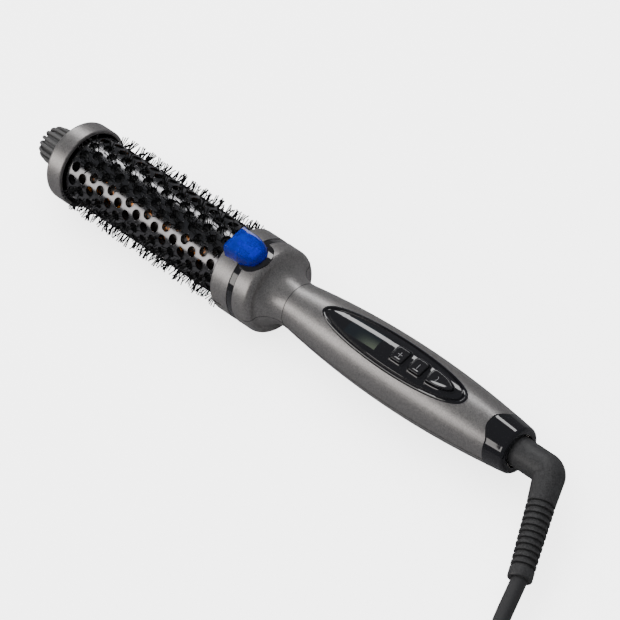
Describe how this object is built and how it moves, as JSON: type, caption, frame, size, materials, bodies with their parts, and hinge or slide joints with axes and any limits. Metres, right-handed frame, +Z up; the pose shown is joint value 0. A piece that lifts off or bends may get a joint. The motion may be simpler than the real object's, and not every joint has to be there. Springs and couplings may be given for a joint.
{
  "type": "heated round hair brush",
  "caption": "Heated round hair brush: perforated barrel with bristle strips, collar with a blue ion outlet, waisted handle with a control panel, and a mains cord on a swivel elbow.",
  "frame": {"origin": "on the surface that the brush lies on, under the middle of its length and its width", "axes": "+X along the brush's axis from the cool tip to the cord end, +Z up and out through the middle of the control panel, +Y completes the right-handed set"},
  "size_m": [0.4673, 0.0996, 0.0453],
  "materials": {
    "cool_tip_plastic": "ribbed matt moulding",
    "satin_casing": "satin metallic gunmetal lacquer on moulded plastic",
    "heat_proof_plastic": "glass-filled heat-proof moulding",
    "steel_fastener": "zinc-plated",
    "barrel_metal": "dark polished metal",
    "heater_aluminium": "extruded",
    "heater_ceramic": "ceramic",
    "insulation_film": "amber polyimide film",
    "gloss_trim": "piano black",
    "blue_clear_plastic": "clear blue moulding",
    "emitter_plastic": "dark blue moulding",
    "potted_module": "epoxy potted",
    "panel_gloss": "piano black, clear over the display",
    "display_glass": "grey-green display",
    "circuit_board": "solder mask",
    "switch_plastic": "moulded",
    "button_plastic": "gloss black",
    "lead_sleeve": "glass-fibre sleeve",
    "swivel_nylon": "self-lubricating nylon",
    "contact_brass": "plated",
    "swivel_rubber": "matt flexible moulding",
    "cord_jacket": "satin jacket",
    "tie_fabric": "hook-and-loop strap",
    "plug_plastic": "moulded",
    "plug_metal": "nickel-plated",
    "bristle_nylon": "heat-proof nylon"
  },
  "bodies": {
    "casing": {"cool_tip": "cool_tip_plastic", "tip_cap": "satin_casing", "tip_holder": "heat_proof_plastic", "tip_screw": "steel_fastener", "barrel": "barrel_metal", "bristle_strip_1": "bristle_nylon", "bristle_strip_2": "bristle_nylon", "bristle_strip_3": "bristle_nylon", "bristle_strip_4": "bristle_nylon", "heat_block_upper": "heater_aluminium", "heat_block_lower": "heater_aluminium", "ptc_heater": "heater_ceramic", "insulation_film": "insulation_film", "thermistor": "heater_ceramic", "barrel_base": "heat_proof_plastic", "head_shell_upper": "satin_casing", "head_shell_lower": "satin_casing", "trim_band": "gloss_trim", "ion_outlet": "blue_clear_plastic", "ion_emitter_holder": "emitter_plastic", "ion_needle": "steel_fastener", "ion_generator": "potted_module", "handle_shell_upper": "satin_casing", "handle_shell_lower": "satin_casing", "shell_screws": "steel_fastener", "panel_bezel": "gloss_trim", "panel_lens": "panel_gloss", "display_module": "display_glass", "main_board": "circuit_board", "tact_switches": "switch_plastic", "heater_leads": "lead_sleeve", "thermal_fuse": "heater_ceramic", "end_cap": "gloss_trim", "swivel_bush": "swivel_nylon", "contact_springs": "contact_brass"},
    "button_plus": {"button_plus": "button_plastic"},
    "button_minus": {"button_minus": "button_plastic"},
    "button_power": {"button_power": "button_plastic"},
    "swivel": {"contact_rings": "contact_brass", "swivel_elbow": "swivel_rubber", "strain_relief": "swivel_rubber", "power_cord": "cord_jacket", "cord_coil": "cord_jacket", "cable_tie": "tie_fabric", "plug_body": "plug_plastic", "plug_pins": "plug_metal"}
  },
  "joints": [
    {"name": "press_plus", "type": "slide", "parent": "casing", "child": "button_plus", "axis": [0, 0, -1], "range_m": [0, 0.0004], "stiffness_N_per_m": 400},
    {"name": "press_minus", "type": "slide", "parent": "casing", "child": "button_minus", "axis": [0, 0, -1], "range_m": [0, 0.0004], "stiffness_N_per_m": 400},
    {"name": "press_power", "type": "slide", "parent": "casing", "child": "button_power", "axis": [0, 0, -1], "range_m": [0, 0.0004], "stiffness_N_per_m": 400},
    {"name": "cord_swivel", "type": "hinge", "parent": "casing", "child": "swivel", "pos_m": [0.13725, 0, 0.021], "axis": [1, 0, 0], "continuous": true}
  ]
}
